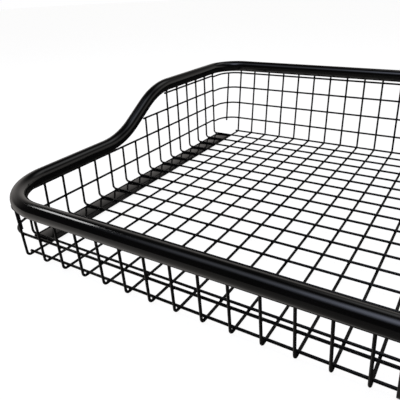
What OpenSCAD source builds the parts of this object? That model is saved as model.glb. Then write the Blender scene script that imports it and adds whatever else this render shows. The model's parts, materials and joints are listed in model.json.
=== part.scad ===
// Folding luggage rack: a welded wire basket in two halves, hinged along the
// middle of its floor. X runs across the rack, Y from front to back, Z up.
// The origin is at the middle of the surface that the rack stands on.

/* [Mesh] */
// Spacing of the mesh wires, both ways
pitch = 50; // [44:1:56]
// Diameter of the mesh wires
wire_d = 5; // [4:0.5:6]
// Number of cross wires from the front bend to the back bend
cross_rows = 18; // [16:2:22]
// Number of longways wires in one half that bend up into walls
long_rows = 14; // [10:1:16]
// Radius of the bends between floor and walls, at the wire's centre
bend_r = 8; // [7:1:12]
// How far the mesh sits back from the middle of the rim
mesh_shift = -4; // [-6:1:6]

/* [Walls] */
// Outward lean of the front wall, in degrees
front_lean = 3.5; // [2:0.5:9]
// Outward lean of the back wall, in degrees
back_lean = 8; // [5:1:9]
// Height of the lowest rail above the surface below
first_rail_z = 55; // [50:1:60]
// Number of rails in the front wall
low_rails = 2; // [2:1:2]
// Number of rails in the back wall
high_rails = 4; // [4:1:4]
// How far the top rail of the back wall sits below its place in the mesh
top_drop = 3.5; // [0:0.5:5]

/* [Rim] */
// Outside diameter of the rim tube
tube_d = 32; // [25:1:34]
// Wall thickness of the rim tube
tube_t = 2; // [1.5:0.25:3]
// Gap between the mesh's last rail place and the tube above it
rim_gap = 1.5; // [1:0.25:3]
// Radius of the front corners at the tube's centre
front_corner_r = 126; // [100:2:130]
// Radius of the back corners at the tube's centre
back_corner_r = 80; // [70:5:100]
// Where the rim starts to rise, behind the middle of the rack
rise_start = -136; // [-160:2:-120]
// Radius of both bends of the rise
rise_r = 195; // [160:5:210]
// Steepness of the rise, in degrees
rise_angle = 33; // [28:1:34]

/* [Flat bars] */
// Width of the outer flat bar under the mesh
plate_w = 42; // [30:1:44]
// Width of the flat bar frame at the fold
frame_w = 36; // [24:1:40]
// Height of the rubber strips under the outer flat bars
strip_h = 6; // [6:1:10]

/* [Hinges] */
// Number of hinges along the fold
hinges = 3; // [2:1:4]
// Distance from the first hinge to the last
hinge_span = 660; // [500:10:680]
// Outside diameter of the hinge knuckles
knuckle_d = 11; // [10:0.5:11]
// Diameter of the hinge pins
pin_d = 6; // [4:0.5:6]
// Length of one knuckle
knuckle_l = 24; // [16:1:30]

/* [Hidden] */
$fn = 24;

// Colours
coat = [0.02, 0.02, 0.022];
moulded = [0.03, 0.03, 0.03];
rubber = [0.05, 0.05, 0.05];
zinc = [0.72, 0.73, 0.75];

// Heights of the two wire layers. A weld sinks one wire into the next by lap, and the
// fold frame into the rim by bar_lap. The border wires ride a little high, on its bends.
lap = 0.15;
bar_lap = 0.08;
layer = wire_d - lap;
sleeve_scale = 1.005;
joint_share = 0.025;
long_z = strip_h + wire_d / 2;
cross_z = long_z + layer;
border_z = cross_z + 0.05;
bar_top = strip_h + wire_d;
tail = 3;

// Places of the wires in one half, as distances from the fold
first_long_x = 1.5 * pitch;
last_long_x = first_long_x + (long_rows - 1) * pitch;
edge_x = last_long_x + pitch;
wall_x = edge_x + bend_r - 0.5;
cross_end_x = 9;
cross_ys = [for (i = [0 : cross_rows - 1]) (i - (cross_rows - 1) / 2) * pitch + mesh_shift];
side_ys = [for (i = [1 : cross_rows - 2]) cross_ys[i]];
front_gap = 10.5;
back_gap = 12;
front_y = cross_ys[0] - front_gap;
back_y = cross_ys[cross_rows - 1] + back_gap;

// Rim
tube_r = tube_d / 2;
rim_x = wall_x + 3;
rim_y = (cross_rows - 1) / 2 * pitch + 27;
low_z = mesh_z(low_rails) + wire_d / 2 + rim_gap + tube_r;
high_z = mesh_z(high_rails) + wire_d / 2 + rim_gap + tube_r;
plug_t = 3;
half_gap = 0.2;
rim_end_x = plug_t + half_gap;
rise_h = high_z - low_z;
straight_h = rise_h - 2 * rise_r * (1 - cos(rise_angle));
knee_y = rise_start + rise_r * sin(rise_angle);
knee_z = low_z + rise_r * (1 - cos(rise_angle));
hip_y = knee_y + straight_h / tan(rise_angle);
hip_z = knee_z + straight_h;
rise_end = hip_y + rise_r * sin(rise_angle);

// Flat bars
frame_x = 7;
plate_x = (last_long_x + edge_x - plate_w) / 2 - 1;
plate_end = 6;

// Hinges
axis_z = strip_h;
bore_gap = 0.05;
knuckle_gap = 0.5;
barrel_half = 1.5 * knuckle_l + knuckle_gap;
hinge_ys = [for (i = [0 : hinges - 1]) (i / (hinges - 1) - 0.5) * hinge_span];
clip_t = 0.8;
clip_y = barrel_half + 0.6;
groove_r = pin_d / 2 - 0.5;

// Height of rail place n in the mesh, counted from 1 at the bottom, and of the rail there
function mesh_z(n) = first_rail_z + (n - 1) * pitch;
function rail_z(n) = mesh_z(n) - (n == high_rails ? top_drop : 0);

// Height of the rim's centre above the side wall at y
function rim_z(y) =
    y < rise_start ? low_z :
    y < knee_y ? low_z + rise_r - sqrt(rise_r * rise_r - pow(y - rise_start, 2)) :
    y < hip_y ? knee_z + (y - knee_y) * tan(rise_angle) :
    y < rise_end ? high_z - rise_r + sqrt(rise_r * rise_r - pow(rise_end - y, 2)) :
    high_z;

// Steepness of the rim at y, in degrees
function rim_angle(y) =
    y < rise_start ? 0 :
    y < knee_y ? asin((y - rise_start) / rise_r) :
    y < hip_y ? rise_angle :
    y < rise_end ? asin((rise_end - y) / rise_r) :
    0;

// Height of the tube's underside above the side wall at y
function under_z(y) = rim_z(y) - tube_r / cos(rim_angle(y));

// How many side rails fit under the tube at y
function rails_at(y) = len([for (n = [1 : high_rails]) if (rail_z(n) + wire_d / 2 < under_z(y)) n]);

// How far a corner of radius r has come in, a distance d past the corner's start
function corner_inset(r, d) = d > 0 ? r - sqrt(r * r - d * d) : 0;

// Height at which the near edge of an upright has sunk into the tube above it.
// off is how far the upright is to one side of the tube's centre.
function weld_z(z, off, sink = lap) =
    let (near = max(0, abs(off) - wire_d / 2))
    z - sqrt(tube_r * tube_r - near * near) + sink;

// The rim's inset at a side wire, and at an end wire
function side_inset(y) =
    corner_inset(front_corner_r, -y - (rim_y - front_corner_r)) +
    corner_inset(back_corner_r, y - (rim_y - back_corner_r));
function end_inset(x, r) = corner_inset(r, x - (rim_x - r));

// Top of a side upright: welded to the tube where that is close, else just over its rail
function side_top(y) =
    under_z(y) - rail_z(rails_at(y)) < 2 * wire_d ?
    weld_z(rim_z(y), rim_x - side_inset(y) - wall_x) :
    rail_z(rails_at(y)) + tail;

// Lean of an end wall, and the distance of its wires from the middle at height z.
// dir is -1 for the front.
function lean(dir) = dir < 0 ? front_lean : back_lean;
function end_y(dir, z) = (dir < 0 ? -front_y : back_y) + (z - long_z) * tan(lean(dir));

// Top of an end wall's upright at x, which leans out a little more on its way to the tube
function end_top(dir, x, sink = lap) =
    let (r = dir < 0 ? front_corner_r : back_corner_r)
    let (z = dir < 0 ? low_z : high_z)
    let (rim = rim_y - end_inset(x, r))
    let (rough = weld_z(z, rim - end_y(dir, z - tube_r), sink))
    weld_z(z, rim - end_y(dir, rough), sink);

// A round bar from point p to point q. Where it runs on into a bend, a thin sleeve
// covers the joint, so that the two are one solid.
module rod(p, q, d = wire_d, bend_at_p = false, bend_at_q = false) {
    v = q - p;
    l = norm(v);
    gap = d * joint_share;
    low = bend_at_p ? gap : 0;
    high = bend_at_q ? l - gap : l;
    translate(p)
        rotate([0, acos(v[2] / l), atan2(v[1], v[0])]) {
            translate([0, 0, low])
                cylinder(h = high - low, d = d);
            if (bend_at_p)
                translate([0, 0, -gap])
                    cylinder(h = 3 * gap, d = d * sleeve_scale);
            if (bend_at_q)
                translate([0, 0, l - 2 * gap])
                    cylinder(h = 3 * gap, d = d * sleeve_scale);
        }
}

// Bends of round bar, from angle a on through angle turn, in the planes XY, XZ and YZ
module bend_xy(centre, r, a, turn, d = wire_d) {
    translate(centre)
        rotate([0, 0, a])
            rotate_extrude(angle = turn, $fn = 96)
                translate([r, 0])
                    circle(d = d, $fn = 32);
}

module bend_xz(centre, r, a, turn, d = wire_d) {
    translate(centre)
        rotate([90, 0, 0])
            bend_xy([0, 0, 0], r, a, turn, d);
}

module bend_yz(centre, r, a, turn, d = wire_d) {
    translate(centre)
        rotate([90, 0, 90])
            bend_xy([0, 0, 0], r, a, turn, d);
}

// The whole run of the left rim as a round bar of diameter d, from front to back
module rim_run(d, end_x) {
    front_x = rim_x - front_corner_r;
    front_side_y = -rim_y + front_corner_r;
    back_x = rim_x - back_corner_r;
    back_side_y = rim_y - back_corner_r;
    rod([-end_x, -rim_y, low_z], [-front_x, -rim_y, low_z], d, false, true);
    bend_xy([-front_x, front_side_y, low_z], front_corner_r, 180, 90, d);
    rod([-rim_x, front_side_y, low_z], [-rim_x, rise_start, low_z], d, true, true);
    bend_yz([-rim_x, rise_start, low_z + rise_r], rise_r, 270, rise_angle, d);
    rod([-rim_x, knee_y, knee_z], [-rim_x, hip_y, hip_z], d, true, true);
    bend_yz([-rim_x, rise_end, high_z - rise_r], rise_r, 90, rise_angle, d);
    rod([-rim_x, rise_end, high_z], [-rim_x, back_side_y, high_z], d, true, true);
    bend_xy([-back_x, back_side_y, high_z], back_corner_r, 90, 90, d);
    rod([-back_x, rim_y, high_z], [-end_x, rim_y, high_z], d, true, false);
}

module left_rim_tube() {
    color(coat)
        difference() {
            rim_run(tube_d, rim_end_x);
            rim_run(tube_d - 2 * tube_t, rim_end_x - 1);
        }
}

// A moulded plug with its flange at the fold and its stem in the tube
module rim_plug(y, z) {
    stem_l = 20;
    stem_d = tube_d - 2 * tube_t - 0.1;
    translate([-half_gap, y, z])
        rotate([0, -90, 0]) {
            cylinder(h = plug_t, d = tube_d, $fn = 48);
            cylinder(h = plug_t + stem_l, d = stem_d, $fn = 48);
        }
}

module left_rim_plugs() {
    color(moulded) {
        rim_plug(-rim_y, low_z);
        rim_plug(rim_y, high_z);
    }
}

// A cross wire: along the floor, round the bend and up the side wall
module cross_wire(y) {
    turn_x = wall_x - bend_r;
    turn_z = cross_z + bend_r;
    rod([-cross_end_x, y, cross_z], [-turn_x, y, cross_z], bend_at_q = true);
    bend_xz([-turn_x, y, turn_z], bend_r, 180, 90);
    rod([-wall_x, y, turn_z], [-wall_x, y, side_top(y)], bend_at_p = true);
}

module left_cross_wires() {
    color(coat)
        for (y = side_ys)
            cross_wire(y);
}

// One end of a longways wire: the bend and the upright of the back wall
module end_upright(dir, x) {
    turn = 90 - lean(dir);
    turn_y = end_y(dir, long_z) - bend_r * tan(turn / 2);
    foot = [-x, turn_y + bend_r * sin(turn), long_z + bend_r * (1 - cos(turn))];
    top_z = end_top(dir, x);
    bend_yz([-x, turn_y, long_z + bend_r], bend_r, 270, turn);
    rod(foot, [-x, end_y(dir, top_z), top_z], bend_at_p = true);
}

module long_wire(x) {
    front = [-x, bend_r * tan((90 - front_lean) / 2) - end_y(-1, long_z), long_z];
    back = [-x, end_y(1, long_z) - bend_r * tan((90 - back_lean) / 2), long_z];
    rod(front, back, bend_at_p = true, bend_at_q = true);
    end_upright(1, x);
    mirror([0, 1, 0])
        end_upright(-1, x);
}

module left_long_wires() {
    color(coat)
        for (i = [0 : long_rows - 1])
            long_wire(first_long_x + i * pitch);
}

// Floor wires along the edges: one beside the outer flat bar, one at each end bend
module left_border_wires() {
    color(coat) {
        rod([-edge_x, side_ys[0] - tail, long_z], [-edge_x, side_ys[cross_rows - 3] + tail, long_z]);
        for (y = [cross_ys[0], cross_ys[cross_rows - 1]])
            rod([-last_long_x - tail, y, border_z], [-cross_end_x, y, border_z]);
    }
}

// The side rails lie outside the side uprights, each as far forward as the rim lets it
module left_side_rails() {
    x = -wall_x - layer;
    color(coat)
        for (n = [1 : high_rails]) {
            ys = [for (y = side_ys) if (rails_at(y) >= n) y];
            rod([x, ys[0] - tail, rail_z(n)], [x, ys[len(ys) - 1] + tail, rail_z(n)]);
        }
}

// The rails of an end wall run inside its uprights, and turn the corner to pass inside
// the first side upright. The wall is drawn as the back one.
corner_r = wall_x - layer - last_long_x;
function corner_y(dir, z) = end_y(dir, z) - layer / cos(lean(dir)) - corner_r;
function post_y(dir) = dir < 0 ? -side_ys[0] : side_ys[cross_rows - 3];

module end_rail(dir, z) {
    x = last_long_x + corner_r;
    y = corner_y(dir, z);
    rod([-cross_end_x, y + corner_r, z], [-last_long_x, y + corner_r, z], bend_at_q = true);
    bend_xy([-last_long_x, y, z], corner_r, 90, 90);
    rod([-x, y, z], [-x, post_y(dir) - tail, z], bend_at_p = true);
}

module left_front_rails() {
    color(coat)
        mirror([0, 1, 0])
            for (n = [1 : low_rails])
                end_rail(-1, rail_z(n));
}

module left_back_rails() {
    color(coat)
        for (n = [1 : high_rails])
            end_rail(1, rail_z(n));
}

// A short upright at the middle of each corner, inside the bend of the rails
function corner_point(dir, z) =
    let (d = (corner_r - layer) * sin(45))
    [-last_long_x - d, corner_y(dir, z) + d, z];

module corner_upright(dir, rails) {
    low = rail_z(1) - 8;
    rod(corner_point(dir, low), corner_point(dir, rail_z(rails) + wire_d / 2));
}

module left_corner_uprights() {
    color(coat) {
        corner_upright(1, high_rails);
        mirror([0, 1, 0])
            corner_upright(-1, low_rails);
    }
}

module left_outer_plate() {
    y = side_ys[0] - plate_end;
    l = side_ys[cross_rows - 3] + plate_end - y;
    color(coat)
        translate([-plate_x - plate_w, y, strip_h])
            cube([plate_w, l, wire_d]);
}

// Side view of one end of the fold frame, from the floor up the wall, side mm outside
// the bar's middle. dir is -1 for the front, which is drawn as a back wall.
function frame_side(dir, side) =
    let (turn = 90 - lean(dir))
    let (turn_y = end_y(dir, long_z) - bend_r * tan(turn / 2))
    let (top_z = end_top(dir, frame_x, bar_lap))
    let (r = bend_r + side)
    concat(
        [for (i = [0 : 12]) let (a = turn * i / 12)
            [turn_y + r * sin(a), long_z + bend_r - r * cos(a)]],
        [[end_y(dir, top_z) + side / sin(turn), top_z]]
    );
function reversed(list) = [for (i = [len(list) - 1 : -1 : 0]) list[i]];
function flipped(list) = [for (p = list) [-p[0], p[1]]];

// Flat bar bent up at both ends, which carries the hinges and stiffens the fold
module left_fold_frame() {
    half = wire_d / 2;
    color(coat)
        translate([-frame_x - frame_w, 0, 0])
            rotate([90, 0, 90])
                linear_extrude(height = frame_w)
                    polygon(concat(
                        frame_side(1, half), reversed(frame_side(1, -half)),
                        flipped(frame_side(-1, -half)), reversed(flipped(frame_side(-1, half)))
                    ));
}

// A hinge knuckle with its tab, which is welded to the edge of the left fold frame
module knuckle(y) {
    tab = 4;
    translate([0, y, axis_z])
        difference() {
            union() {
                translate([0, knuckle_l / 2, 0])
                    rotate([90, 0, 0])
                        cylinder(h = knuckle_l, d = knuckle_d, $fn = 48);
                translate([-frame_x, -knuckle_l / 2, 0])
                    cube([tab, knuckle_l, wire_d]);
            }
            translate([0, knuckle_l, 0])
                rotate([90, 0, 0])
                    cylinder(h = 2 * knuckle_l, r = pin_d / 2 + bore_gap, $fn = 48);
        }
}

module left_hinge_knuckles() {
    color(coat)
        for (y = hinge_ys, side = [-1, 1])
            knuckle(y + side * (knuckle_l + knuckle_gap));
}

// A ribbed rubber strip under the outer flat bar, which the rack stands on
module left_rest_strip() {
    strip_w = 29;
    foot_w = 25;
    y = side_ys[0] + 10;
    l = side_ys[cross_rows - 3] - 10 - y;
    x = -plate_x - plate_w + 2;
    inset = (strip_w - foot_w) / 2;
    color(rubber)
        translate([x, y + l, 0])
            rotate([90, 0, 0])
                linear_extrude(height = l)
                    polygon([
                        [inset, 0], [strip_w - inset, 0],
                        [strip_w, strip_h], [0, strip_h]
                    ]);
}

// The right half is the left one mirrored, apart from the knuckles between the left ones
module mirrored() {
    mirror([1, 0, 0])
        children();
}

module right_rim_tube() { mirrored() left_rim_tube(); }
module right_rim_plugs() { mirrored() left_rim_plugs(); }
module right_cross_wires() { mirrored() left_cross_wires(); }
module right_long_wires() { mirrored() left_long_wires(); }
module right_border_wires() { mirrored() left_border_wires(); }
module right_side_rails() { mirrored() left_side_rails(); }
module right_front_rails() { mirrored() left_front_rails(); }
module right_back_rails() { mirrored() left_back_rails(); }
module right_corner_uprights() { mirrored() left_corner_uprights(); }
module right_outer_plate() { mirrored() left_outer_plate(); }
module right_fold_frame() { mirrored() left_fold_frame(); }
module right_rest_strip() { mirrored() left_rest_strip(); }

module right_hinge_knuckles() {
    color(coat)
        mirrored()
            for (y = hinge_ys)
                knuckle(y);
}

// A hinge pin with a flat head in front and a groove for its clip behind
module hinge_pin(y) {
    head_t = 2.5;
    head_y = barrel_half + 0.2;
    tip_y = clip_y + clip_t + 1.5;
    translate([0, y, axis_z])
        rotate([-90, 0, 0]) {
            translate([0, 0, -head_y - head_t])
                cylinder(h = head_t, d = knuckle_d - 1.5, $fn = 48);
            translate([0, 0, -head_y - 0.5])
                cylinder(h = head_y + 0.5 + clip_y, d = pin_d, $fn = 48);
            translate([0, 0, clip_y - 0.5])
                cylinder(h = tip_y - clip_y + 0.5, r = groove_r, $fn = 48);
            translate([0, 0, clip_y + clip_t])
                cylinder(h = tip_y - clip_y - clip_t, d = pin_d, $fn = 48);
        }
}

module hinge_pins() {
    color(zinc)
        for (y = hinge_ys)
            hinge_pin(y);
}

// A flat open ring in the groove of a pin
module pin_clip(y) {
    translate([0, y + clip_y, axis_z])
        rotate([-90, 0, 0])
            difference() {
                cylinder(h = clip_t, d = knuckle_d - 2, $fn = 48);
                translate([0, 0, -1])
                    cylinder(h = clip_t + 2, r = groove_r + 0.02, $fn = 48);
                translate([-groove_r * 0.8, 0, -1])
                    cube([groove_r * 1.6, knuckle_d, clip_t + 2]);
            }
}

module hinge_pin_clips() {
    color(zinc)
        for (y = hinge_ys)
            pin_clip(y);
}

left_rim_tube();
left_rim_plugs();
left_cross_wires();
left_long_wires();
left_border_wires();
left_side_rails();
left_front_rails();
left_back_rails();
left_corner_uprights();
left_outer_plate();
left_fold_frame();
left_hinge_knuckles();
left_rest_strip();
right_rim_tube();
right_rim_plugs();
right_cross_wires();
right_long_wires();
right_border_wires();
right_side_rails();
right_front_rails();
right_back_rails();
right_corner_uprights();
right_outer_plate();
right_fold_frame();
right_hinge_knuckles();
right_rest_strip();
hinge_pins();
hinge_pin_clips();
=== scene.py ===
"""A folding luggage rack: a welded wire basket in two halves, under a rim tube.

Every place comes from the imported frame. Shapes are drawn as the right half, at positive X, and
the left half is their mirror image.
"""

import json
import math
import random

import bmesh
import bpy
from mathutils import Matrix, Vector


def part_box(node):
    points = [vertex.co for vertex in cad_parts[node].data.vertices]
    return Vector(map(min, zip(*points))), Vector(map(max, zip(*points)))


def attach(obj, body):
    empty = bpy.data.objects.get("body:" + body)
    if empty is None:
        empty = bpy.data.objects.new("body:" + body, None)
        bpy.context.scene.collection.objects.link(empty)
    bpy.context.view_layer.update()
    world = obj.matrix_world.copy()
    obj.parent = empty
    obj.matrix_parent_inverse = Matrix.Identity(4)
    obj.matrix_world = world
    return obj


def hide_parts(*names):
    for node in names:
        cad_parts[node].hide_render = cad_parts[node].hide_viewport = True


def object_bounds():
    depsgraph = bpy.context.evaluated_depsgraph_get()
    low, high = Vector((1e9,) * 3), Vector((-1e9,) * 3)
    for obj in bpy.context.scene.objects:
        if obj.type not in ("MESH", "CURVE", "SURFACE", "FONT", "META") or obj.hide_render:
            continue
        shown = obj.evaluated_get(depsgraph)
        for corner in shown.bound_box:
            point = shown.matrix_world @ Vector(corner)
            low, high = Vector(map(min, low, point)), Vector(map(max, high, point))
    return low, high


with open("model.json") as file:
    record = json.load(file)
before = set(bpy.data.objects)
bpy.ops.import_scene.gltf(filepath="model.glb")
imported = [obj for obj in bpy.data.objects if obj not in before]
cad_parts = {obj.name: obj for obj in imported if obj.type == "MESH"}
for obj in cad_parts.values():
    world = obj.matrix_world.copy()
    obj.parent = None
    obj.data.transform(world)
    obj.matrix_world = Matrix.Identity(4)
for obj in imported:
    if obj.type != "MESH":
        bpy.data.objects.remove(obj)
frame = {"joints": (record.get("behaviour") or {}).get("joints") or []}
cad_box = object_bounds()

MM = 0.001
HALVES = {"left": -1, "right": 1}
X, Y, Z = Vector((1, 0, 0)), Vector((0, 1, 0)), Vector((0, 0, 1))
chance = random.Random(7)

# ---------------------------------------------------------------------------
# Sizes that the frame's boxes don't give
# ---------------------------------------------------------------------------
tube_r = 16 * MM
tube_wall = 2 * MM
front_corner_r = 126 * MM
back_corner_r = 80 * MM
rise_start = -136 * MM
rise_r = 195 * MM
rise_angle = 33
wire_r = 2.5 * MM
lap = 0.15 * MM
border_lift = 0.05 * MM
layer = 2 * wire_r - lap
pitch = 50 * MM
bend_r = 8 * MM
front_lean = math.radians(3.5)
back_lean = math.radians(8)
front_gap = 10.5 * MM
back_gap = 12 * MM
tail = 3 * MM
long_rows = 14
cross_rows = 18
high_rails = 4
low_rails = 2
cross_start = 9 * MM
frame_w = 36 * MM
knuckle_r = 5.5 * MM
knuckle_l = 24 * MM
knuckle_gap = 0.5 * MM
bore_r = 3.05 * MM
pin_r = 3 * MM
groove_r = 2.5 * MM
clip_t = 0.8 * MM
clip_r = 4.5 * MM

# ---------------------------------------------------------------------------
# Places, from the frame
# ---------------------------------------------------------------------------
rim_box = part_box("right_rim_tube")
rim_x = rim_box[1].x - tube_r
rim_y = rim_box[1].y - tube_r
low_z = rim_box[0].z + tube_r
high_z = rim_box[1].z - tube_r
rim_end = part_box("right_rim_plugs")[0].x + 3 * MM
plate_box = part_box("right_outer_plate")
strip_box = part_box("right_rest_strip")
long_z = plate_box[0].z + wire_r
cross_z = long_z + layer
bar_top = plate_box[1].z


def middle(node):
    """The middle of a node's box."""
    low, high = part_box(node)
    return (low + high) / 2


mesh_y = middle("right_cross_wires").y
rows = [mesh_y + (i - (cross_rows - 1) / 2) * pitch for i in range(cross_rows)]
side_rows = rows[1:-1]
long_mid = (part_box("right_long_wires")[0].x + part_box("right_long_wires")[1].x) / 2
columns = [long_mid + (i - (long_rows - 1) / 2) * pitch for i in range(long_rows)]
edge_x = columns[-1] + pitch
wall_x = edge_x + bend_r - 0.5 * MM
corner_r = wall_x - layer - columns[-1]
front_y = rows[0] - front_gap
back_y = rows[-1] + back_gap
rails_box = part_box("right_side_rails")
rails = [rails_box[0].z + wire_r + i * pitch for i in range(high_rails - 1)]
rails.append(rails_box[1].z - wire_r)
frame_x = middle("right_fold_frame").x
fold = next(j for j in frame["joints"] if j["name"] == "fold_hinge")
axis_z = fold["pos_m"][2]
hinge_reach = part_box("right_hinge_knuckles")[1].y - knuckle_l / 2
hinge_ys = [-hinge_reach, 0, hinge_reach]


# ---------------------------------------------------------------------------
# How the rim runs, and where wires meet it
# ---------------------------------------------------------------------------
sin_rise, cos_rise = math.sin(math.radians(rise_angle)), math.cos(math.radians(rise_angle))
bend_h = rise_r * (1 - cos_rise)
straight_h = high_z - low_z - 2 * bend_h
knee_y = rise_start + rise_r * sin_rise
hip_y = knee_y + straight_h * cos_rise / sin_rise
rise_end = hip_y + rise_r * sin_rise


def rim_z(y):
    """Height of the rim's centre above the side wall at y."""
    if y < rise_start:
        return low_z
    if y < knee_y:
        return low_z + rise_r - math.sqrt(rise_r**2 - (y - rise_start) ** 2)
    if y < hip_y:
        return low_z + bend_h + (y - knee_y) * sin_rise / cos_rise
    if y < rise_end:
        return high_z - rise_r + math.sqrt(rise_r**2 - (rise_end - y) ** 2)
    return high_z


def rim_slope(y):
    """Angle of the rim above level at y, in radians."""
    if y < rise_start or y > rise_end:
        return 0
    if y < knee_y:
        return math.asin((y - rise_start) / rise_r)
    if y < hip_y:
        return math.radians(rise_angle)
    return math.asin((rise_end - y) / rise_r)


def under_z(y):
    """Height of the tube's underside above the side wall at y."""
    return rim_z(y) - tube_r / math.cos(rim_slope(y))


def corner_inset(r, d):
    """How far a corner of radius r has come in, a distance d past the corner's start."""
    return r - math.sqrt(r * r - d * d) if d > 0 else 0


def side_inset(y):
    """How far the rim's two corners bring it in from its side at y."""
    front = corner_inset(front_corner_r, -y - (rim_y - front_corner_r))
    return front + corner_inset(back_corner_r, y - (rim_y - back_corner_r))


def end_inset(x, r):
    """How far a corner of radius r brings the rim in from its end at x."""
    return corner_inset(r, x - (rim_x - r))


def contact_z(z, off):
    """Height at which a wire has just sunk into a tube centred at z, off to one side of it."""
    near = max(0, abs(off) - wire_r)
    return z - math.sqrt(tube_r**2 - near**2) + lap


def rails_at(y):
    """How many side rails fit under the tube at y."""
    return len([z for z in rails if z + wire_r < under_z(y)])


def side_top(y):
    """Top of a side upright, and whether it is welded to the tube there."""
    last_rail = rails[rails_at(y) - 1]
    if under_z(y) - last_rail < 4 * wire_r:
        return contact_z(rim_z(y), rim_x - side_inset(y) - wall_x), True
    return last_rail + tail, False


def end_lean(end):
    """Lean of an end wall. end is -1 in front, 1 behind."""
    return front_lean if end < 0 else back_lean


def end_y(end, z):
    """Distance from the middle to an end wall's wires at height z."""
    return (-front_y if end < 0 else back_y) + (z - long_z) * math.tan(end_lean(end))


def end_rim(end):
    """Height and corner radius of the rim at one end."""
    return (low_z, front_corner_r) if end < 0 else (high_z, back_corner_r)


def end_top(end, x):
    """Height at which an end wall's upright at x meets the rim."""
    z, r = end_rim(end)
    rim = rim_y - end_inset(x, r)
    rough = contact_z(z, rim - end_y(end, z - tube_r))
    return contact_z(z, rim - end_y(end, rough))


# ---------------------------------------------------------------------------
# Drawing
# ---------------------------------------------------------------------------
def arc(centre, first, second, r, start, end, steps):
    """Points of an arc. Its angle, in degrees, runs from the direction first towards second."""
    angles = [math.radians(start + (end - start) * i / steps) for i in range(steps + 1)]
    return [centre + (first * math.cos(a) + second * math.sin(a)) * r for a in angles]


def circle(r, count):
    """Outline of a round of radius r."""
    turn = 2 * math.pi / count
    return [(r * math.cos(i * turn), r * math.sin(i * turn)) for i in range(count)]


def rounded_bar(w, h, r, steps=4):
    """Outline of a flat bar with rounded edges."""
    corners = [(1, 1, 0), (-1, 1, 90), (-1, -1, 180), (1, -1, 270)]
    outline = []
    for sx, sy, start in corners:
        for i in range(steps + 1):
            a = math.radians(start + 90 * i / steps)
            outline.append((sx * (w / 2 - r) + r * math.cos(a), sy * (h / 2 - r) + r * math.sin(a)))
    return outline


def rings_along(path, profile, up, sizes=None):
    """A profile carried along a path without twist. Its second coordinate starts out along up."""
    steps = [(b - a).normalized() for a, b in zip(path, path[1:])]
    ahead = [steps[0]] + [(a + b).normalized() for a, b in zip(steps, steps[1:])] + [steps[-1]]
    rings, normal = [], Vector(up)
    for i, point in enumerate(path):
        normal = (normal - ahead[i] * normal.dot(ahead[i])).normalized()
        across = ahead[i].cross(normal)
        size = sizes[i] if sizes else 1
        rings.append([point + (across * u + normal * v) * size for u, v in profile])
    return rings


class Shape:
    """The closed surfaces of one piece. They are drawn at positive X, and side -1 mirrors them."""

    def __init__(self, side=1):
        self.side = side
        self.points = []
        self.faces = []

    def skin(self, rings, loop=False):
        """Joins rings of points by faces. The last runs on to the first, or the ends are closed."""
        first, count = len(self.points), len(rings[0])
        for ring in rings:
            self.points += [(self.side * p.x, p.y, p.z) for p in ring]
        for i in range(len(rings) if loop else len(rings) - 1):
            a = first + i * count
            b = first + (i + 1) % len(rings) * count
            for j in range(count):
                k = (j + 1) % count
                self.faces.append((a + j, a + k, b + k, b + j))
        if not loop:
            last = len(self.points) - count
            self.faces.append(tuple(range(first, first + count)))
            self.faces.append(tuple(range(last, last + count)))

    def wire(self, path, up, chamfer=0.5 * MM):
        """A round wire with sheared, slightly rounded ends."""
        start = path[0] + (path[1] - path[0]).normalized() * chamfer
        end = path[-1] + (path[-2] - path[-1]).normalized() * chamfer
        inner = path[1:-1]
        sizes = [0.72, 1] + [1] * len(inner) + [1, 0.72]
        whole = [path[0], start] + inner + [end, path[-1]]
        self.skin(rings_along(whole, circle(wire_r, 14), up, sizes))

    def turned(self, stations, origin, axis, up, count=40):
        """A turned part: (distance along the axis, radius) for each step of its outline."""
        rings = []
        across = axis.cross(up)
        for along, r in stations:
            centre = origin + axis * along
            rings.append([centre + across * u + up * v for u, v in circle(r, count)])
        self.skin(rings)

    def blob(self, centre, normal, wide, high, along=None, long=None, count=10):
        """A weld: an ellipsoid, high along the normal, wide across it, long along a third way."""
        spread = 1 + 0.12 * (chance.random() - 0.5)
        along = along or normal.orthogonal().normalized()
        across = normal.cross(along).normalized()
        long = (long or wide) * spread
        rings = []
        for degrees in (-78, -50, -22, 8, 38, 62, 80):
            a = math.radians(degrees)
            level = centre + normal * high * math.sin(a)
            ring = circle(math.cos(a), count)
            rings.append([level + along * long * u + across * wide * spread * v for u, v in ring])
        self.skin(rings)


def piece(name, body, shape, finish, nodes=(), bevel=0, sharp=38):
    """Makes a piece from a shape, lets it ride on a body, and lets it stand for its CAD nodes."""
    mesh = bpy.data.meshes.new(name)
    mesh.from_pydata(shape.points, [], shape.faces)
    work = bmesh.new()
    work.from_mesh(mesh)
    bmesh.ops.recalc_face_normals(work, faces=work.faces)
    work.to_mesh(mesh)
    work.free()
    mesh.materials.append(finish)
    mesh.polygons.foreach_set("use_smooth", [True] * len(mesh.polygons))
    mesh.set_sharp_from_angle(angle=math.radians(sharp))
    made = bpy.data.objects.new(name, mesh)
    bpy.context.scene.collection.objects.link(made)
    if bevel:
        rounding = made.modifiers.new("rounding", "BEVEL")
        rounding.width = bevel
        rounding.segments = 3
        rounding.limit_method = "ANGLE"
        rounding.angle_limit = math.radians(50)
        rounding.harden_normals = True
    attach(made, body)
    if nodes:
        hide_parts(*nodes)
    return made


# ---------------------------------------------------------------------------
# Materials
# ---------------------------------------------------------------------------
def new_material(name):
    """A node material with its tree, its shader, and the object's own coordinates in metres."""
    material = bpy.data.materials.new(name)
    material.use_nodes = True
    tree = material.node_tree
    place = tree.nodes.new("ShaderNodeTexCoord").outputs["Object"]
    return material, tree, tree.nodes["Principled BSDF"], place


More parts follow.
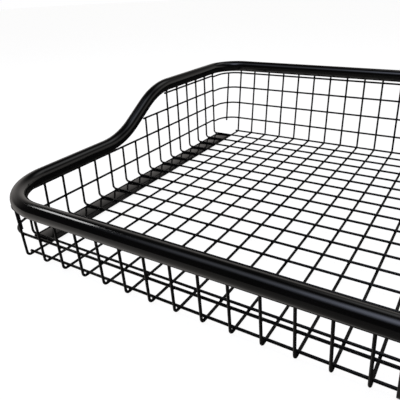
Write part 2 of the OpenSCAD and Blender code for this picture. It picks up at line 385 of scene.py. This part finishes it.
def noise(tree, place, scale, detail=2.0, roughness=0.5):
    """Noise with about scale features to the metre."""
    node = tree.nodes.new("ShaderNodeTexNoise")
    node.inputs["Scale"].default_value = scale
    node.inputs["Detail"].default_value = detail
    node.inputs["Roughness"].default_value = roughness
    tree.links.new(place, node.inputs["Vector"])
    return node.outputs["Fac"]


def stretched(tree, place, scale):
    """The coordinates, stretched by a factor along each axis."""
    node = tree.nodes.new("ShaderNodeMapping")
    node.inputs["Scale"].default_value = scale
    tree.links.new(place, node.inputs["Vector"])
    return node.outputs["Vector"]


def spread(tree, source, low, high):
    """Maps the middle of a noise's range to the range from low to high."""
    node = tree.nodes.new("ShaderNodeMapRange")
    node.inputs["From Min"].default_value = 0.3
    node.inputs["From Max"].default_value = 0.7
    node.inputs["To Min"].default_value = low
    node.inputs["To Max"].default_value = high
    tree.links.new(source, node.inputs["Value"])
    return node.outputs["Result"]


def tinted(tree, source, dark, light):
    """A colour between two others, by a noise."""
    node = tree.nodes.new("ShaderNodeValToRGB")
    node.color_ramp.elements[0].position = 0.32
    node.color_ramp.elements[1].position = 0.68
    node.color_ramp.elements[0].color = (*dark, 1)
    node.color_ramp.elements[1].color = (*light, 1)
    tree.links.new(source, node.inputs["Fac"])
    return node.outputs["Color"]


def relief(tree, shader, *layers):
    """Bumps one over another. Each layer is a height from 0 to 1 and its depth in metres."""
    normal = None
    for height, depth in layers:
        node = tree.nodes.new("ShaderNodeBump")
        node.inputs["Strength"].default_value = 1.0
        node.inputs["Distance"].default_value = depth
        tree.links.new(height, node.inputs["Height"])
        if normal:
            tree.links.new(normal, node.inputs["Normal"])
        normal = node.outputs["Normal"]
    tree.links.new(normal, shader.inputs["Normal"])


def powder_coat(name, dark, light, gloss, peel_depth, sheen=0.5):
    """Baked black powder coat: an even black with an orange-peel skin and a faint grain."""
    material, tree, shader, place = new_material(name)
    clouds = noise(tree, place, 14, 3)
    peel = noise(tree, place, 260, 1.5)
    grain = noise(tree, place, 1500, 2)
    tree.links.new(tinted(tree, clouds, dark, light), shader.inputs["Base Color"])
    tree.links.new(spread(tree, peel, *gloss), shader.inputs["Roughness"])
    shader.inputs["Specular IOR Level"].default_value = sheen
    relief(tree, shader, (peel, peel_depth), (grain, 0.0025 * MM))
    return material


def moulded_plastic():
    """Injection-moulded black plastic with a fine spark-eroded grain."""
    material, tree, shader, place = new_material("moulded_plastic")
    grain = noise(tree, place, 2600, 3, 0.6)
    clouds = noise(tree, place, 60, 2)
    tree.links.new(tinted(tree, clouds, (0.012,) * 3, (0.019,) * 3), shader.inputs["Base Color"])
    tree.links.new(spread(tree, grain, 0.42, 0.55), shader.inputs["Roughness"])
    relief(tree, shader, (grain, 0.02 * MM))
    return material


def strip_rubber():
    """Dull rubber with fine pits and a little dust in its surface."""
    material, tree, shader, place = new_material("strip_rubber")
    dust = noise(tree, place, 45, 5, 0.6)
    pits = noise(tree, place, 1900, 3, 0.65)
    colours = tinted(tree, dust, (0.014,) * 3, (0.027, 0.026, 0.025))
    tree.links.new(colours, shader.inputs["Base Color"])
    tree.links.new(spread(tree, dust, 0.66, 0.82), shader.inputs["Roughness"])
    shader.inputs["Specular IOR Level"].default_value = 0.35
    relief(tree, shader, (pits, 0.03 * MM))
    return material


def zinc_plate():
    """Bright zinc plating over turned steel, with lathe marks round the pin."""
    material, tree, shader, place = new_material("zinc_plate")
    marks = noise(tree, stretched(tree, place, (120, 4200, 120)), 1.0, 3, 0.6)
    bloom = noise(tree, place, 300, 4)
    colours = tinted(tree, bloom, (0.50, 0.52, 0.55), (0.68, 0.68, 0.66))
    shader.inputs["Metallic"].default_value = 1.0
    tree.links.new(colours, shader.inputs["Base Color"])
    tree.links.new(spread(tree, bloom, 0.26, 0.4), shader.inputs["Roughness"])
    relief(tree, shader, (marks, 0.01 * MM))
    return material


deep_black = (0.0012, 0.0012, 0.0014)
rim_coat = powder_coat("rim_coat", deep_black, (0.0026, 0.0025, 0.0026), (0.09, 0.13), 0.009 * MM)
wire_coat = powder_coat("wire_coat", deep_black, (0.003,) * 3, (0.24, 0.32), 0.02 * MM, 0.24)
bar_coat = powder_coat("bar_coat", (0.005,) * 3, (0.009, 0.0085, 0.008), (0.07, 0.12), 0.012 * MM)
plug_plastic = moulded_plastic()
rubber = strip_rubber()
zinc = zinc_plate()


# ---------------------------------------------------------------------------
# Rim
# ---------------------------------------------------------------------------
def rim_path():
    """The rim's centre line in one half, from the front end at the fold round to the back one."""
    front_x, back_x = rim_x - front_corner_r, rim_x - back_corner_r
    front = Vector((front_x, -rim_y + front_corner_r, low_z))
    back = Vector((back_x, rim_y - back_corner_r, high_z))
    knee = Vector((rim_x, rise_start, low_z + rise_r))
    hip = Vector((rim_x, rise_end, high_z - rise_r))
    path = [Vector((rim_end, -rim_y, low_z))]
    path += arc(front, -Y, X, front_corner_r, 0, 90, 36)
    path += arc(knee, -Z, Y, rise_r, 0, rise_angle, 14)
    path += arc(hip, Z, -Y, rise_r, rise_angle, 0, 14)
    path += arc(back, X, Y, back_corner_r, 0, 90, 36)
    return path + [Vector((rim_end, rim_y, high_z))]


def rim_tube(side):
    shape = Shape(side)
    path = rim_path()
    outer = rings_along(path, circle(tube_r, 72), Z)
    inner = rings_along(path, circle(tube_r - tube_wall, 72), Z)
    shape.skin(outer + inner[::-1], loop=True)
    return shape


def rim_plugs(side):
    """Plugs that close the tube at the fold: a flange with a dished face, on a ribbed stem."""
    shape = Shape(side)
    stem_r = tube_r - tube_wall - 0.05 * MM
    flange = [(0.0, 4.5), (0.35, 4.8), (0.35, 12.2), (0.0, 12.6), (0.0, 14.4)]
    flange += [(0.25, 15.3), (0.7, 15.85), (1.3, 16.0), (2.8, 16.0), (3.0, 15.9)]
    stations = [(along * MM, r * MM) for along, r in flange]
    for rib in range(4):
        start = 3.0 + 5.0 * rib
        stations += [((start + along) * MM, stem_r - inset * MM) for along, inset in
                     ((0.0, 1.2), (3.6, 1.2), (3.8, 0.0), (4.8, 0.3))]
    face = rim_end - 3 * MM
    for y, z in ((-rim_y, low_z), (rim_y, high_z)):
        shape.turned(stations, Vector((face, y, z)), X, Z, 48)
    return shape


# ---------------------------------------------------------------------------
# Wires
# ---------------------------------------------------------------------------
def cross_wires(side):
    """Wires that run across the floor, round the bend and up the side wall."""
    shape = Shape(side)
    for y in side_rows:
        turn = Vector((wall_x - bend_r, y, cross_z + bend_r))
        path = [Vector((cross_start, y, cross_z))]
        path += arc(turn, -Z, X, bend_r, 0, 90, 12)
        path.append(Vector((wall_x, y, side_top(y)[0])))
        shape.wire(path, Y)
    return shape


def end_path(end, x):
    """Bend and upright of an end wall, from the floor up, drawn at X = x. end is -1 in front."""
    turn = math.degrees(math.pi / 2 - end_lean(end))
    turn_y = end_y(end, long_z) - bend_r * math.tan(math.radians(turn) / 2)
    path = arc(Vector((x, turn_y, long_z + bend_r)), -Z, Y, bend_r, 0, turn, 12)
    top = end_top(end, x)
    path.append(Vector((x, end_y(end, top), top)))
    return [Vector((p.x, end * p.y, p.z)) for p in path]


def long_wires(side):
    """Wires that run from the front wall's top down, along the floor, and up the back wall."""
    shape = Shape(side)
    for x in columns:
        shape.wire(end_path(-1, x)[::-1] + end_path(1, x), X)
    return shape


def border_wires(side):
    """Straight floor wires: one beside the outer flat bar, one at each end bend."""
    shape = Shape(side)
    ends = (side_rows[0] - tail, side_rows[-1] + tail)
    shape.wire([Vector((edge_x, y, long_z)) for y in ends], X)
    reach = (cross_start, columns[-1] + tail)
    for y in (rows[0], rows[-1]):
        shape.wire([Vector((x, y, cross_z + border_lift)) for x in reach], Y)
    return shape


def side_rails(side):
    """Straight rails outside the side wall's uprights, each as long as it fits under the rim."""
    shape = Shape(side)
    x = wall_x + layer
    for n, z in enumerate(rails):
        ys = [y for y in side_rows if rails_at(y) > n]
        shape.wire([Vector((x, y, z)) for y in (ys[0] - tail, ys[-1] + tail)], X)
    return shape


def corner_y(end, z):
    """Centre of a rail's bend round the corner, as a distance from the middle."""
    return end_y(end, z) - layer / math.cos(end_lean(end)) - corner_r


def corner_post(end):
    """Distance from the middle to the first side upright past a corner."""
    return -side_rows[0] if end < 0 else side_rows[-1]


def end_rails(side, end, count):
    """Rails inside an end wall's uprights, bent round the corner to the first side upright."""
    shape = Shape(side)
    for z in rails[:count]:
        y = corner_y(end, z)
        path = [Vector((cross_start, y + corner_r, z))]
        path += arc(Vector((columns[-1], y, z)), Y, X, corner_r, 0, 90, 20)
        path.append(Vector((columns[-1] + corner_r, corner_post(end) - tail, z)))
        shape.wire([Vector((p.x, end * p.y, p.z)) for p in path], Z)
    return shape


def corner_point(end, z, inside=0):
    """The middle of a corner's bend at height z, or a point that far inside it."""
    d = (corner_r - inside) * math.sqrt(0.5)
    return Vector((columns[-1] + d, end * (corner_y(end, z) + d), z))


def corner_uprights(side):
    """A short upright inside the bend of the rails at each corner."""
    shape = Shape(side)
    for end, count in ((-1, low_rails), (1, high_rails)):
        low, high = rails[0] - 8 * MM, rails[count - 1] + wire_r
        shape.wire([corner_point(end, z, layer) for z in (low, high)], X)
    return shape


# ---------------------------------------------------------------------------
# Welds
# ---------------------------------------------------------------------------
def mesh_welds(side):
    """Nuggets where two wires of the mesh, or a wire and a flat bar, are fused at a crossing."""
    shape = Shape(side)
    wide, high = 3.0 * MM, 1.3 * MM
    floor_z = long_z + layer / 2
    for y in rows:
        for x in columns:
            shape.blob(Vector((x, y, floor_z)), Z, wide, high)
    for y in side_rows:
        shape.blob(Vector((edge_x, y, floor_z)), Z, wide, high)
        for z in rails[: rails_at(y)]:
            shape.blob(Vector((wall_x + layer / 2, y, z)), X, wide, high)
    for end, count in ((-1, low_rails), (1, high_rails)):
        for z in rails[:count]:
            for x in columns + [frame_x]:
                y = end * (end_y(end, z) - layer / 2)
                shape.blob(Vector((x, y, z)), Vector((0, end, 0)), wide, high)
            shape.blob(Vector((wall_x - layer / 2, end * corner_post(end), z)), X, wide, high)
            out = Vector((1, end, 0)).normalized()
            shape.blob(corner_point(end, z, layer / 2), out, wide, high)
    return shape


def bar_welds(side):
    """Nuggets between the cross wires and the flat bars that they lie on."""
    shape = Shape(side)
    plate_xs = [plate_box[0].x + 8 * MM, plate_box[1].x - 8 * MM]
    frame_xs = [frame_x - 10 * MM, frame_x + 10 * MM]
    for y in side_rows:
        for x in plate_xs + frame_xs:
            shape.blob(Vector((x, y, bar_top)), Z, 3.2 * MM, 0.9 * MM, X, 4.0 * MM)
    return shape


def rim_welds(side):
    """Beads round the tops of the uprights, where they meet the underside of the rim."""
    shape = Shape(side)
    bead = (4.4 * MM, 2.2 * MM)
    for y in side_rows:
        top, welded = side_top(y)
        if welded:
            centre = Vector((rim_x - side_inset(y), y, rim_z(y)))
            slope = rim_slope(y)
            foot = Vector((wall_x, y, top)) - centre
            ahead = Vector((0, math.cos(slope), math.sin(slope)))
            normal = (foot - ahead * foot.dot(ahead)).normalized()
            shape.blob(centre + foot, normal, *bead, count=14)
    for end in (-1, 1):
        z, r = end_rim(end)
        for x in columns:
            top = end_top(end, x)
            centre = Vector((x, end * (rim_y - end_inset(x, r)), z))
            foot = Vector((x, end * end_y(end, top), top))
            shape.blob(foot, (foot - centre).normalized(), *bead, count=14)
        top = end_top(end, frame_x)
        for face in (-1, 1):
            y = end * (end_y(end, top) + face * wire_r)
            tube = z - math.sqrt(tube_r**2 - (abs(y) - rim_y) ** 2)
            high = (tube - top) / 2 + 1.4 * MM
            centre = Vector((frame_x, y, (tube + top) / 2))
            shape.blob(centre, Z, 2.4 * MM, high, X, frame_w * 0.47, 20)
    return shape


# ---------------------------------------------------------------------------
# Flat bars and rubber strips
# ---------------------------------------------------------------------------
def outer_plate(side):
    """The flat bar under the mesh along the side wall, with rounded edges and sheared ends."""
    shape = Shape(side)
    mid = (plate_box[0] + plate_box[1]) / 2
    size = plate_box[1] - plate_box[0]
    ends = [plate_box[0].y, plate_box[0].y + 0.5 * MM, plate_box[1].y - 0.5 * MM, plate_box[1].y]
    path = [Vector((mid.x, y, mid.z)) for y in ends]
    outline = rounded_bar(size.x, size.z, 0.9 * MM)
    trimmed = rounded_bar(size.x - 0.8 * MM, size.z - 0.8 * MM, 0.6 * MM)
    full = rings_along(path, outline, Z)
    small = rings_along(path, trimmed, Z)
    shape.skin([small[0], full[1], full[2], small[3]])
    return shape


def fold_frame(side):
    """Flat bar beside the fold, bent up the front and back walls to the rim."""
    shape = Shape(side)
    path = end_path(-1, frame_x)[::-1] + end_path(1, frame_x)
    shape.skin(rings_along(path, rounded_bar(2 * wire_r, frame_w, 0.9 * MM), X))
    return shape


def rest_strip(side):
    """Rubber strip with grooves along its foot and its sides drawn in."""
    shape = Shape(side)
    low, high = strip_box
    mid_x, top = (low.x + high.x) / 2, high.z
    half_top, half_foot = (high.x - low.x) / 2, (high.x - low.x) / 2 - 2 * MM
    groove, land, depth = 2.6 * MM, 3.0 * MM, 1.8 * MM
    edge, draft = 0.7 * MM, 0.3 * MM
    foot = [(-half_foot, edge), (-half_foot + edge, 0)]
    for i in range(-2, 2):
        start = i * (groove + land) + land / 2
        end = start + groove
        foot += [(start, 0), (start + draft, depth), (end - draft, depth), (end, 0)]
    foot += [(half_foot - edge, 0), (half_foot, edge)]
    sides = [(half_top - draft, top - 1.5 * MM), (half_top, top - 0.8 * MM), (half_top, top)]
    outline = foot + sides + [(-u, v) for u, v in reversed(sides)]
    ends = [low.y, low.y + 1.0 * MM, high.y - 1.0 * MM, high.y]
    draw_in = [0.94, 1, 1, 0.94]
    rings = []
    for y, size in zip(ends, draw_in):
        rings.append([Vector((mid_x + u * size, y, top - (top - v) * size)) for u, v in outline])
    shape.skin(rings)
    return shape


# ---------------------------------------------------------------------------
# Hinges
# ---------------------------------------------------------------------------
def knuckles(side):
    """Bored hinge barrels, each with a tab that is welded to the edge of its fold frame."""
    shape = Shape(side)
    step = knuckle_l + knuckle_gap
    offsets = (-step, step) if side < 0 else (0,)
    tab_top = bar_top - axis_z
    tab_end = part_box("right_fold_frame")[0].x
    start = math.degrees(math.asin(tab_top / knuckle_r))
    end, count = 350, 44
    angles = [math.radians(start + (end - start) * i / count) for i in range(count + 1)]
    outline = [(tab_end, 0), (tab_end, tab_top)]
    outline += [(knuckle_r * math.cos(a), knuckle_r * math.sin(a)) for a in angles]
    for y in hinge_ys:
        for offset in offsets:
            near, far = y + offset - knuckle_l / 2, y + offset + knuckle_l / 2
            outer, bore = [], []
            for at in (near, far):
                outer.append([Vector((u, at, axis_z + v)) for u, v in outline])
                inward = [bore_r / math.hypot(u, v) for u, v in outline]
                ring = zip(outline, inward)
                bore.append([Vector((u * s, at, axis_z + v * s)) for (u, v), s in ring])
            shape.skin([outer[0], outer[1], bore[1], bore[0]], loop=True)
    return shape


def knuckle_welds(side):
    """Beads along the tabs of the knuckles, on the top of the fold frame's edge."""
    shape = Shape(side)
    step = knuckle_l + knuckle_gap
    offsets = (-step, step) if side < 0 else (0,)
    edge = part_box("right_fold_frame")[0].x
    for y in hinge_ys:
        for offset in offsets:
            centre = Vector((edge + 0.6 * MM, y + offset, bar_top - 0.3 * MM))
            shape.blob(centre, Z, 2.2 * MM, 1.1 * MM, Y, knuckle_l * 0.44, 20)
    return shape


def hinge_pins():
    """Turned pins: a chamfered flat head in front, and a groove for the clip behind."""
    shape = Shape()
    low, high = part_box("hinge_pins")
    head_start = low.y - hinge_ys[0]
    tip = high.y - hinge_ys[-1]
    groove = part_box("hinge_pin_clips")[1].y - hinge_ys[-1] - clip_t
    head_r, head_t = 4.75 * MM, 2.5 * MM
    edge = 0.4 * MM
    stations = [
        (head_start, head_r - 1.1 * MM), (head_start + 0.15 * MM, head_r - edge),
        (head_start + edge, head_r), (head_start + head_t - edge / 2, head_r),
        (head_start + head_t, head_r - edge / 2), (head_start + head_t, pin_r),
        (groove - 0.05 * MM, pin_r), (groove, groove_r),
        (groove + clip_t, groove_r), (groove + clip_t + 0.05 * MM, pin_r),
        (tip - 0.5 * MM, pin_r), (tip, pin_r - 0.5 * MM),
    ]
    for y in hinge_ys:
        shape.turned(stations, Vector((0, y, axis_z)), Y, Z, 48)
    return shape


def pin_clips():
    """Open spring rings in the grooves of the pins, with their gap below."""
    shape = Shape()
    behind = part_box("hinge_pin_clips")[1].y - hinge_ys[-1] - clip_t / 2
    inner = groove_r + 0.02 * MM
    outline = rounded_bar(clip_t, clip_r - inner, 0.2 * MM)
    half_gap, steps = 36, 48
    sizes = [0.8] + [1] * (steps - 1) + [0.8]
    for y in hinge_ys:
        centre = Vector((0, y + behind, axis_z))
        path = arc(centre, -Z, X, (clip_r + inner) / 2, half_gap, 360 - half_gap, steps)
        shape.skin(rings_along(path, outline, (path[0] - centre).normalized(), sizes))
    return shape


# ---------------------------------------------------------------------------
# Pieces
# ---------------------------------------------------------------------------
for half, side in HALVES.items():
    body = f"{half}_half"
    parts = [
        ("rim_tube", rim_tube(side), rim_coat, "rim_coat", 0),
        ("rim_plugs", rim_plugs(side), plug_plastic, "moulded_plastic", 0),
        ("cross_wires", cross_wires(side), wire_coat, "wire_coat", 0),
        ("long_wires", long_wires(side), wire_coat, "wire_coat", 0),
        ("border_wires", border_wires(side), wire_coat, "wire_coat", 0),
        ("side_rails", side_rails(side), wire_coat, "wire_coat", 0),
        ("front_rails", end_rails(side, -1, low_rails), wire_coat, "wire_coat", 0),
        ("back_rails", end_rails(side, 1, high_rails), wire_coat, "wire_coat", 0),
        ("corner_uprights", corner_uprights(side), wire_coat, "wire_coat", 0),
        ("outer_plate", outer_plate(side), bar_coat, "bar_coat", 0),
        ("fold_frame", fold_frame(side), bar_coat, "bar_coat", 0.5 * MM),
        ("hinge_knuckles", knuckles(side), bar_coat, "bar_coat", 0.4 * MM),
        ("rest_strip", rest_strip(side), rubber, "strip_rubber", 0),
    ]
    for part, shape, finish, slot, bevel in parts:
        node = f"{half}_{part}"
        piece(f"{node}_finished", body, shape, finish, [node], bevel)
    piece(f"{half}_mesh_welds", body, mesh_welds(side), wire_coat)
    piece(f"{half}_bar_welds", body, bar_welds(side), bar_coat)
    piece(f"{half}_rim_welds", body, rim_welds(side), rim_coat)
    piece(f"{half}_knuckle_welds", body, knuckle_welds(side), bar_coat)

piece("hinge_pins_finished", "left_half", hinge_pins(), zinc, ["hinge_pins"])
piece("hinge_pin_clips_finished", "left_half", pin_clips(), zinc, ["hinge_pin_clips"])


# ---------------------------------------------------------------------------
# Floor, backdrop, light and camera
# ---------------------------------------------------------------------------
def glowing_white(name, base, glow):
    """A pale surface that also glows a little, so that shadows on it stay faint."""
    material = bpy.data.materials.new(name)
    material.use_nodes = True
    shader = material.node_tree.nodes["Principled BSDF"]
    shader.inputs["Base Color"].default_value = (base, base, base, 1)
    shader.inputs["Roughness"].default_value = 0.9
    shader.inputs["Specular IOR Level"].default_value = 0.1
    shader.inputs["Emission Color"].default_value = (1, 1, 1, 1)
    shader.inputs["Emission Strength"].default_value = glow
    return material


def stage_object(name, mesh, material):
    """Adds a part of the studio that the object's own surfaces don't mirror."""
    mesh.materials.append(material)
    made = bpy.data.objects.new(name, mesh)
    bpy.context.scene.collection.objects.link(made)
    made.visible_glossy = False
    return made


def make_floor(reach):
    """A level floor, just clear of the rubber strips."""
    mesh = bpy.data.meshes.new("floor")
    level = cad_box[0].z - 0.3 * MM
    corners = [(-reach, -reach), (reach, -reach), (reach, reach), (-reach, reach)]
    mesh.from_pydata([(x, y, level) for x, y in corners], [], [(0, 1, 2, 3)])
    stage_object("floor", mesh, glowing_white("floor_white", 0.3, 0.93))


def make_backdrop(reach):
    """A white dome that only the camera sees."""
    work = bmesh.new()
    bmesh.ops.create_uvsphere(work, u_segments=48, v_segments=24, radius=reach)
    mesh = bpy.data.meshes.new("backdrop")
    work.to_mesh(mesh)
    work.free()
    dome = stage_object("backdrop", mesh, glowing_white("backdrop_white", 0.0, 1.0))
    dome.visible_diffuse = False
    dome.visible_transmission = False
    dome.visible_shadow = False


def softbox(name, place, target, width, height, brightness, colour=(1, 1, 1)):
    """An area light. brightness is the radiance of its face."""
    data = bpy.data.lights.new(name, "AREA")
    data.shape = "RECTANGLE"
    data.size = width
    data.size_y = height
    data.energy = brightness * math.pi * width * height
    data.color = colour
    lamp = bpy.data.objects.new(name, data)
    bpy.context.scene.collection.objects.link(lamp)
    lamp.location = place
    lamp.rotation_euler = (Vector(target) - Vector(place)).to_track_quat("-Z", "Y").to_euler()
    lamp.visible_camera = False
    return lamp


disc_shares = ((0.2, 0.19), (0.4, 0.29), (0.6, 0.29), (0.8, 0.15), (1.0, 0.08))
disc_step = 0.03


def soft_lamp(name, place, target, reach, brightness, colour):
    """A round lamp that fades towards its edge: discs of light, each a little behind the last."""
    away = (Vector(place) - Vector(target)).normalized()
    for n, (size, share) in enumerate(disc_shares):
        width = 2 * reach * size
        centre = Vector(place) + away * disc_step * n
        lamp = softbox(f"{name}_{n}", centre, target, width, width, brightness * share, colour)
        lamp.data.shape = "DISK"
        lamp.data.energy *= math.pi / 4


class WorldNodes:
    """The studio's dim walls: a light that depends only on the direction it comes from."""

    def __init__(self):
        world = bpy.data.worlds.new("studio")
        bpy.context.scene.world = world
        world.use_nodes = True
        self.tree = world.node_tree
        self.background = self.tree.nodes["Background"]

    def math(self, operation, *values):
        node = self.tree.nodes.new("ShaderNodeMath")
        node.operation = operation
        for socket, value in zip(node.inputs, values):
            if isinstance(value, (int, float)):
                socket.default_value = value
            else:
                self.tree.links.new(value, socket)
        return node.outputs[0]

    def ease(self, value, start, end):
        """Runs smoothly from 0 at start to 1 at end."""
        node = self.tree.nodes.new("ShaderNodeMapRange")
        node.interpolation_type = "SMOOTHSTEP"
        node.inputs["From Min"].default_value = start
        node.inputs["From Max"].default_value = end
        self.tree.links.new(value, node.inputs["Value"])
        return node.outputs["Result"]

    def direction(self):
        place = self.tree.nodes.new("ShaderNodeTexCoord").outputs["Generated"]
        split = self.tree.nodes.new("ShaderNodeSeparateXYZ")
        self.tree.links.new(place, split.inputs[0])
        x, y, z = split.outputs
        squares = [self.math("MULTIPLY", v, v) for v in (x, y)]
        level = self.math("SQRT", self.math("ADD", *squares))
        return self.math("DIVIDE", x, level), self.math("DIVIDE", y, level), z


def make_world():
    """Dim walls behind the object, and below the horizon a faint glow, strongest on the left."""
    world = WorldNodes()
    x, y, z = world.direction()
    under_ceiling = world.math("SUBTRACT", 1.0, world.ease(z, 0.25, 0.65))
    walls = world.math("MULTIPLY", world.ease(y, -0.5, 0.4), under_ceiling)
    above = world.math("ADD", world.math("MULTIPLY", walls, 0.55), 0.035)
    facing = world.math("ADD", world.math("MULTIPLY", x, -0.94), world.math("MULTIPLY", y, -0.34))
    leftward = world.math("POWER", world.math("MAXIMUM", facing, 0.0), 4.0)
    frontward = world.math("SUBTRACT", 1.0, world.ease(y, -0.1, 0.5))
    low_glow = world.math("ADD", world.math("MULTIPLY", frontward, 0.09), 0.03)
    below = world.math("ADD", world.math("MULTIPLY", leftward, 0.6), low_glow)
    share = world.ease(z, -0.06, 0.02)
    upper = world.math("MULTIPLY", above, share)
    lower = world.math("MULTIPLY", below, world.math("SUBTRACT", 1.0, share))
    world.tree.links.new(world.math("ADD", upper, lower), world.background.inputs["Strength"])
    world.background.inputs["Color"].default_value = (1.0, 0.95, 0.91, 1)


def make_camera():
    """The camera, low over the front of the left half and turned towards its back wall."""
    data = bpy.data.cameras.new("camera")
    data.sensor_width = 36
    data.lens = 41.981
    data.shift_x = -0.0181
    data.shift_y = -0.0725
    camera = bpy.data.objects.new("camera", data)
    camera.location = (-0.00428, -0.91112, 0.49502)
    camera.rotation_euler = [math.radians(a) for a in (67.4817, 2.2425, 31.4541)]
    bpy.context.scene.collection.objects.link(camera)
    bpy.context.scene.camera = camera


make_floor(14)
make_backdrop(12)
softbox("left_lamp", (-2.12, -0.31, 1.68), (-0.57, -0.45, 0.12), 0.5, 0.34, 8.5)
soft_lamp("front_lamp", (-0.1, -1.25, 2.7), (-0.4, -0.1, 0.1), 1.5, 2.6, (0.86, 0.93, 1.16))
soft_lamp("fill_lamp", (-1.35, -0.8, 2.45), (-0.4, -0.1, 0.1), 1.2, 0.8, (0.9, 0.95, 1.12))
soft_lamp("right_lamp", (0.9, 0.05, 4.2), (-0.6, 0.0, 0.1), 1.8, 1.0, (0.93, 0.97, 1.05))
soft_lamp("back_lamp", (-0.2, 1.57, 2.4), (-0.8, -0.3, 0.1), 1.2, 0.9, (1.0, 1.0, 1.0))
make_world()
make_camera()
bpy.context.scene.view_settings.view_transform = "Standard"
